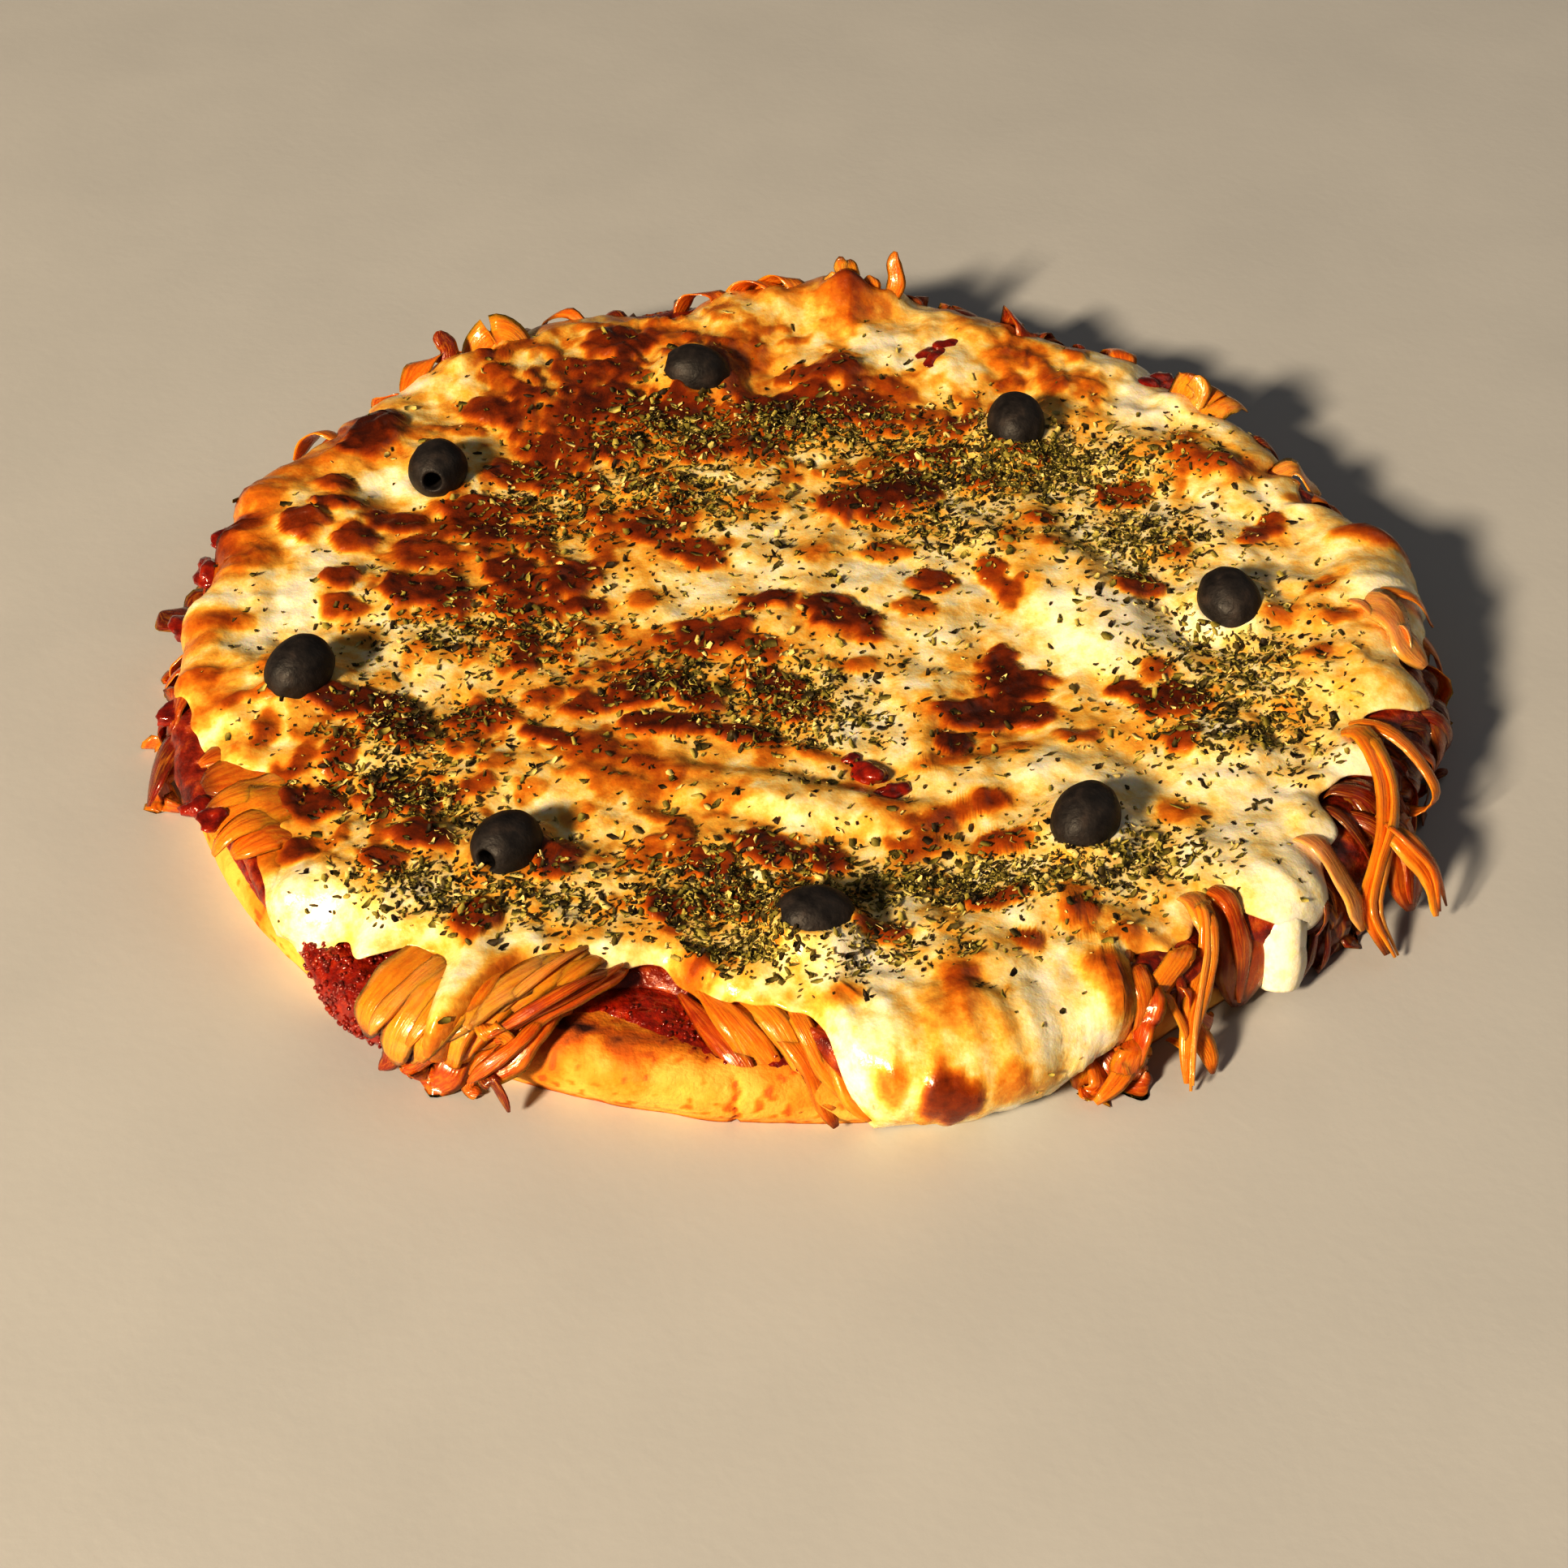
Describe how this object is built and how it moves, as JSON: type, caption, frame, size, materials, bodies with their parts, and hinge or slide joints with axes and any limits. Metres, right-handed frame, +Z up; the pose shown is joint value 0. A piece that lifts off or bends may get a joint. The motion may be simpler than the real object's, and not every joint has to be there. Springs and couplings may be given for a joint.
{
  "type": "onion pizza",
  "caption": "Whole round fugazzeta: thick dough base with tomato sauce, a heap of soft onion strips and browned melted cheese, black olives and oregano on top.",
  "frame": {"origin": "centre of the dough's flat underside", "axes": "+Z up through the pizza; -Y towards the side with the bare stretch of dough and the broad flow of cheese; +X to the right seen from there"},
  "size_m": [0.3149, 0.3083, 0.0396],
  "materials": {
    "dough": "baked bread crust, pale gold with toasted brown patches",
    "tomato_sauce": "wet, grainy deep red",
    "onion": "soft, oily and translucent, amber",
    "cheese": "melted, oily cream with browned blisters",
    "olive": "satin, almost black"
  },
  "bodies": {
    "root": {"crust": "dough", "sauce": "tomato_sauce", "onions": "onion", "cheese": "cheese", "olive_1": "olive", "olive_2": "olive", "olive_3": "olive", "olive_4": "olive", "olive_5": "olive", "olive_6": "olive", "olive_7": "olive", "olive_8": "olive"}
  },
  "joints": []
}
